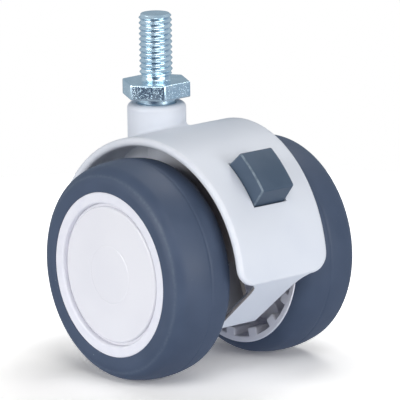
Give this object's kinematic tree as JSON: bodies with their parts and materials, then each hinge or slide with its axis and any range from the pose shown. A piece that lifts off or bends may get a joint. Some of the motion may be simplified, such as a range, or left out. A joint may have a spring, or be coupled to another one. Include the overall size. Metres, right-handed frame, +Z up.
{
  "type": "threaded-stem twin-wheel castor",
  "caption": "Small furniture castor with a threaded stem and hexagon, a curved white hood over soft-tyred twin wheels, a free swivel and a rocker brake button.",
  "frame": {"origin": "on the swivel axis, at the top face of the hexagon that seats against the furniture", "axes": "+Z up along the threaded stem, +Y along the wheel axle towards the left wheel, +X forward: the wheels trail to -X"},
  "size_m": [0.0582, 0.0536, 0.079],
  "materials": {
    "zinc_steel": "bright bluish zinc plate",
    "plain_steel": "drawn steel",
    "spring_steel": "dark phosphated",
    "white_housing": "satin moulded",
    "white_wheel": "satin moulded",
    "white_cap": "glossy moulded",
    "grey_tyre": "matte soft plastic",
    "grey_button": "satin moulded",
    "bearing_plastic": "smooth moulded"
  },
  "bodies": {
    "stem": {"threaded_stem": "zinc_steel", "stem_thrust_washer": "plain_steel", "stem_circlip": "spring_steel"},
    "housing": {"housing": "white_housing", "upper_swivel_bush": "bearing_plastic", "lower_swivel_bush": "bearing_plastic", "brake_pivot_pin": "plain_steel", "axle": "plain_steel", "left_axle_clip": "spring_steel", "right_axle_clip": "spring_steel", "left_thrust_washer": "plain_steel", "right_thrust_washer": "plain_steel"},
    "left_wheel": {"left_tyre": "grey_tyre", "left_wheel_core": "white_wheel", "left_hub_cap": "white_cap", "left_wheel_bush": "bearing_plastic"},
    "right_wheel": {"right_tyre": "grey_tyre", "right_wheel_core": "white_wheel", "right_hub_cap": "white_cap", "right_wheel_bush": "bearing_plastic"},
    "brake": {"brake_rocker": "grey_button", "brake_lock_bar": "plain_steel"}
  },
  "joints": [
    {"name": "swivel", "type": "hinge", "parent": "stem", "child": "housing", "pos_m": [0, 0, 0], "axis": [0, 0, 1], "continuous": true},
    {"name": "left_wheel_spin", "type": "hinge", "parent": "housing", "child": "left_wheel", "pos_m": [-0.0142, 0, -0.0386], "axis": [0, 1, 0], "continuous": true},
    {"name": "right_wheel_spin", "type": "hinge", "parent": "housing", "child": "right_wheel", "pos_m": [-0.0142, 0, -0.0386], "axis": [0, 1, 0], "continuous": true},
    {"name": "brake_rock", "type": "hinge", "parent": "housing", "child": "brake", "pos_m": [-0.03242, 0, -0.02019], "axis": [0, -1, 0], "range_deg": [0, 6]}
  ]
}
